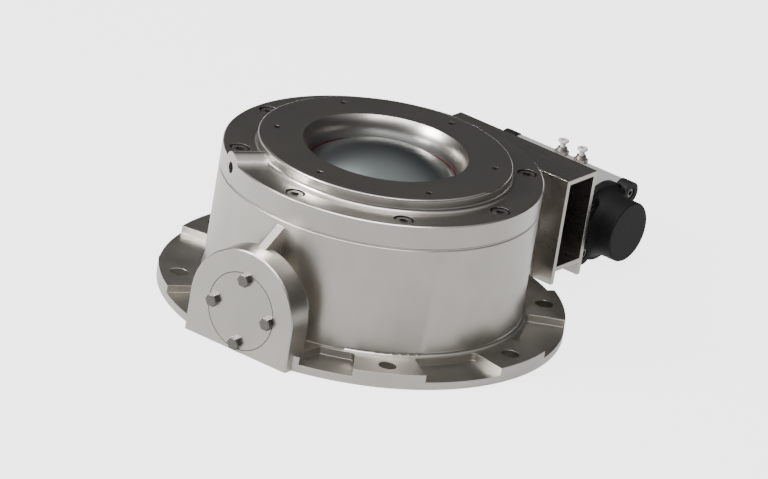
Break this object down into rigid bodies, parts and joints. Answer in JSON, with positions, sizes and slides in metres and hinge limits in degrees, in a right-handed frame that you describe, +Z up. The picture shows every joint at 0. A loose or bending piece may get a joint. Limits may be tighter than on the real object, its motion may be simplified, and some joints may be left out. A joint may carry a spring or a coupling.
{
  "type": "dome valve",
  "caption": "Quarter-turn dome valve with a stepped round flange, a flared throat, an inflatable seal and a side-mounted air actuator.",
  "frame": {"origin": "centre of the outlet flange's lower face, on the flow axis", "axes": "+Z up along the flow axis towards the inlet, +X along the shaft towards the actuator"},
  "size_m": [0.5648, 0.406, 0.167],
  "materials": {
    "cast_stainless": "fine blasted casting, satin",
    "turned_stainless": "turned, satin",
    "polished_dome": "mirror polished",
    "red_rubber": "moulded, matt",
    "black_rubber": "moulded, matt",
    "dark_steel": "black oxide",
    "bearing_bronze": "turned",
    "bracket_stainless": "plate, satin",
    "anodised_aluminium": "clear anodised",
    "pinion_steel": "hobbed",
    "black_coating": "matt powder coat",
    "plated_brass": "nickel plated",
    "collar_plastic": "moulded"
  },
  "bodies": {
    "casing": {"valve_body": "cast_stainless", "top_plate": "turned_stainless", "idle_cover": "turned_stainless", "drive_gland": "turned_stainless", "seal_clamp_ring": "turned_stainless", "inflatable_seal": "red_rubber", "joint_gasket": "black_rubber", "idle_shaft_seal": "black_rubber", "drive_shaft_seal": "black_rubber", "front_cap_gasket": "black_rubber", "rear_cap_gasket": "black_rubber", "top_plate_screws": "dark_steel", "idle_cover_bolts": "dark_steel", "drive_gland_screws": "dark_steel", "clamp_ring_screws": "dark_steel", "bracket_bolts": "dark_steel", "actuator_bolts": "dark_steel", "front_cap_screws": "dark_steel", "rear_cap_screws": "dark_steel", "idle_bush": "bearing_bronze", "drive_bush": "bearing_bronze", "idle_thrust_washer": "bearing_bronze", "drive_thrust_washer": "bearing_bronze", "pinion_base_bush": "bearing_bronze", "pinion_top_bush": "bearing_bronze", "actuator_bracket": "bracket_stainless", "actuator_housing": "anodised_aluminium", "front_end_cap": "black_coating", "rear_end_cap": "black_coating", "front_port_fitting": "plated_brass", "rear_port_fitting": "plated_brass"},
    "dome_train": {"dome": "polished_dome", "dome_pins": "dark_steel", "drive_shaft": "turned_stainless", "idle_shaft": "turned_stainless", "coupling": "turned_stainless", "coupling_key": "dark_steel", "actuator_pinion": "pinion_steel", "pinion_circlip": "dark_steel"},
    "front_piston_body": {"front_piston": "anodised_aluminium", "front_piston_ring": "black_rubber"},
    "rear_piston_body": {"rear_piston": "anodised_aluminium", "rear_piston_ring": "black_rubber"},
    "front_collar": {"front_release_collar": "collar_plastic"},
    "rear_collar": {"rear_release_collar": "collar_plastic"}
  },
  "joints": [
    {"name": "dome_turn", "type": "hinge", "parent": "casing", "child": "dome_train", "pos_m": [0, 0, 0.042], "axis": [1, 0, 0], "range_deg": [0, 90]},
    {"name": "front_piston_slide", "type": "slide", "parent": "casing", "child": "front_piston_body", "axis": [0, -1, 0], "range_m": [0, 0.02357]},
    {"name": "rear_piston_slide", "type": "slide", "parent": "casing", "child": "rear_piston_body", "axis": [0, 1, 0], "range_m": [0, 0.02357]},
    {"name": "front_collar_press", "type": "slide", "parent": "casing", "child": "front_collar", "axis": [0, 0, 1], "range_m": [-0.0015, 0], "stiffness_N_per_m": 300, "springref_m": 0.0005},
    {"name": "rear_collar_press", "type": "slide", "parent": "casing", "child": "rear_collar", "axis": [0, 0, 1], "range_m": [-0.0015, 0], "stiffness_N_per_m": 300, "springref_m": 0.0005}
  ],
  "couplings": [
    {"joint": "front_piston_slide", "follows": "dome_turn", "m_per_rad": 0.015},
    {"joint": "rear_piston_slide", "follows": "dome_turn", "m_per_rad": 0.015}
  ]
}
